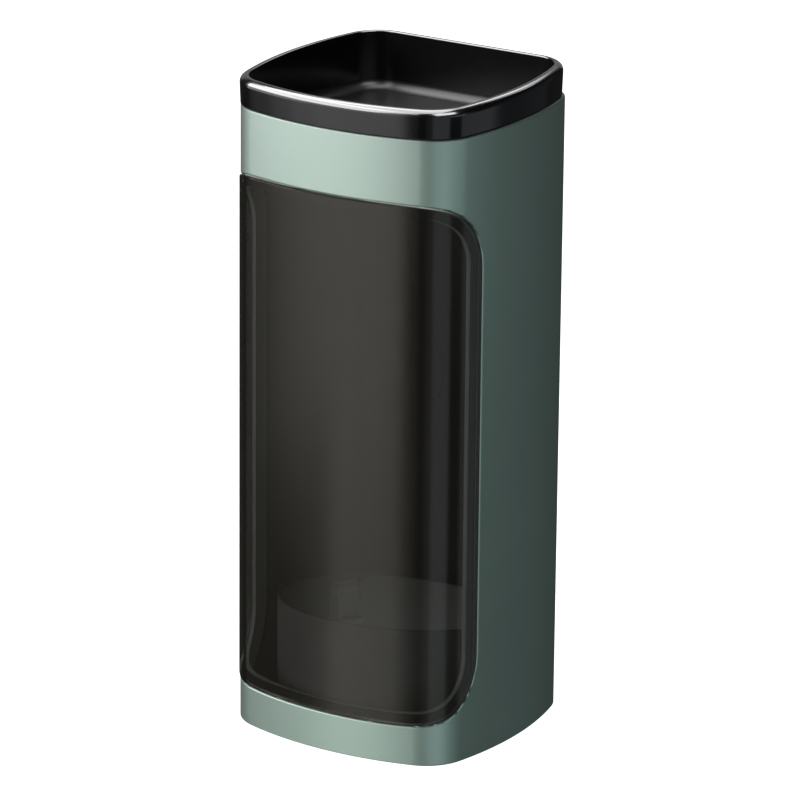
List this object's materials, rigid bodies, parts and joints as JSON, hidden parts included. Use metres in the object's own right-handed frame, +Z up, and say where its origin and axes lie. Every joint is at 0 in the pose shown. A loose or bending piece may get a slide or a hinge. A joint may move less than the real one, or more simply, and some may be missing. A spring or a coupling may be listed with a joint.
{
  "type": "cup dispenser",
  "caption": "Tall wall-hung cup dispenser: bowed sage shell, smoked wrap-round window, lift-off black tray lid and a throat collar with sprung fingers.",
  "frame": {"origin": "middle of the underside, at the centre of the box's footprint", "axes": "+Z up the shell, -Y out of the front window, +Y towards the wall"},
  "size_m": [0.096, 0.0921, 0.232],
  "materials": {
    "sage_paint": "satin sage-green metallic paint",
    "black_plastic": "fine matt black moulding",
    "sage_moulding": "satin grey-green moulding",
    "tape": "black foam tape",
    "smoked_pane": "clear smoked brown sheet, polished",
    "grey_plastic": "satin grey moulding",
    "pale_plastic": "satin pale moulding",
    "steel": "bright steel",
    "magnet_nickel": "nickel plate",
    "pad_rubber": "matt black rubber",
    "black_gloss": "gloss black moulding"
  },
  "bodies": {
    "housing": {"shell": "sage_paint", "window_frame": "sage_moulding", "window_tape": "tape", "window_pane": "smoked_pane", "base_plate": "black_plastic", "base_screws": "steel", "throat_collar": "grey_plastic", "collar_screws": "steel", "finger_pins": "steel", "spring_front": "steel", "spring_right": "steel", "spring_left": "steel", "back_panel": "black_plastic", "back_screws": "steel", "magnets": "magnet_nickel", "magnet_pads": "pad_rubber"},
    "tray": {"top_tray": "black_gloss"},
    "front_finger": {"finger_front": "pale_plastic"},
    "right_finger": {"finger_right": "pale_plastic"},
    "left_finger": {"finger_left": "pale_plastic"}
  },
  "joints": [
    {"name": "tray_lift", "type": "slide", "parent": "housing", "child": "tray", "axis": [0, 0, 1], "range_m": [0, 0.06]},
    {"name": "front_finger_hinge", "type": "hinge", "parent": "housing", "child": "front_finger", "pos_m": [0, -0.03819, 0.0345], "axis": [-1, 0, 0], "range_deg": [0, 14], "stiffness_Nm_per_rad": 0.02, "deforming": ["spring_front"]},
    {"name": "right_finger_hinge", "type": "hinge", "parent": "housing", "child": "right_finger", "pos_m": [0.03178, 0.01685, 0.0345], "axis": [0.5, -0.866, 0], "range_deg": [0, 14], "stiffness_Nm_per_rad": 0.02, "deforming": ["spring_right"]},
    {"name": "left_finger_hinge", "type": "hinge", "parent": "housing", "child": "left_finger", "pos_m": [-0.03178, 0.01685, 0.0345], "axis": [0.5, 0.866, 0], "range_deg": [0, 14], "stiffness_Nm_per_rad": 0.02, "deforming": ["spring_left"]}
  ]
}
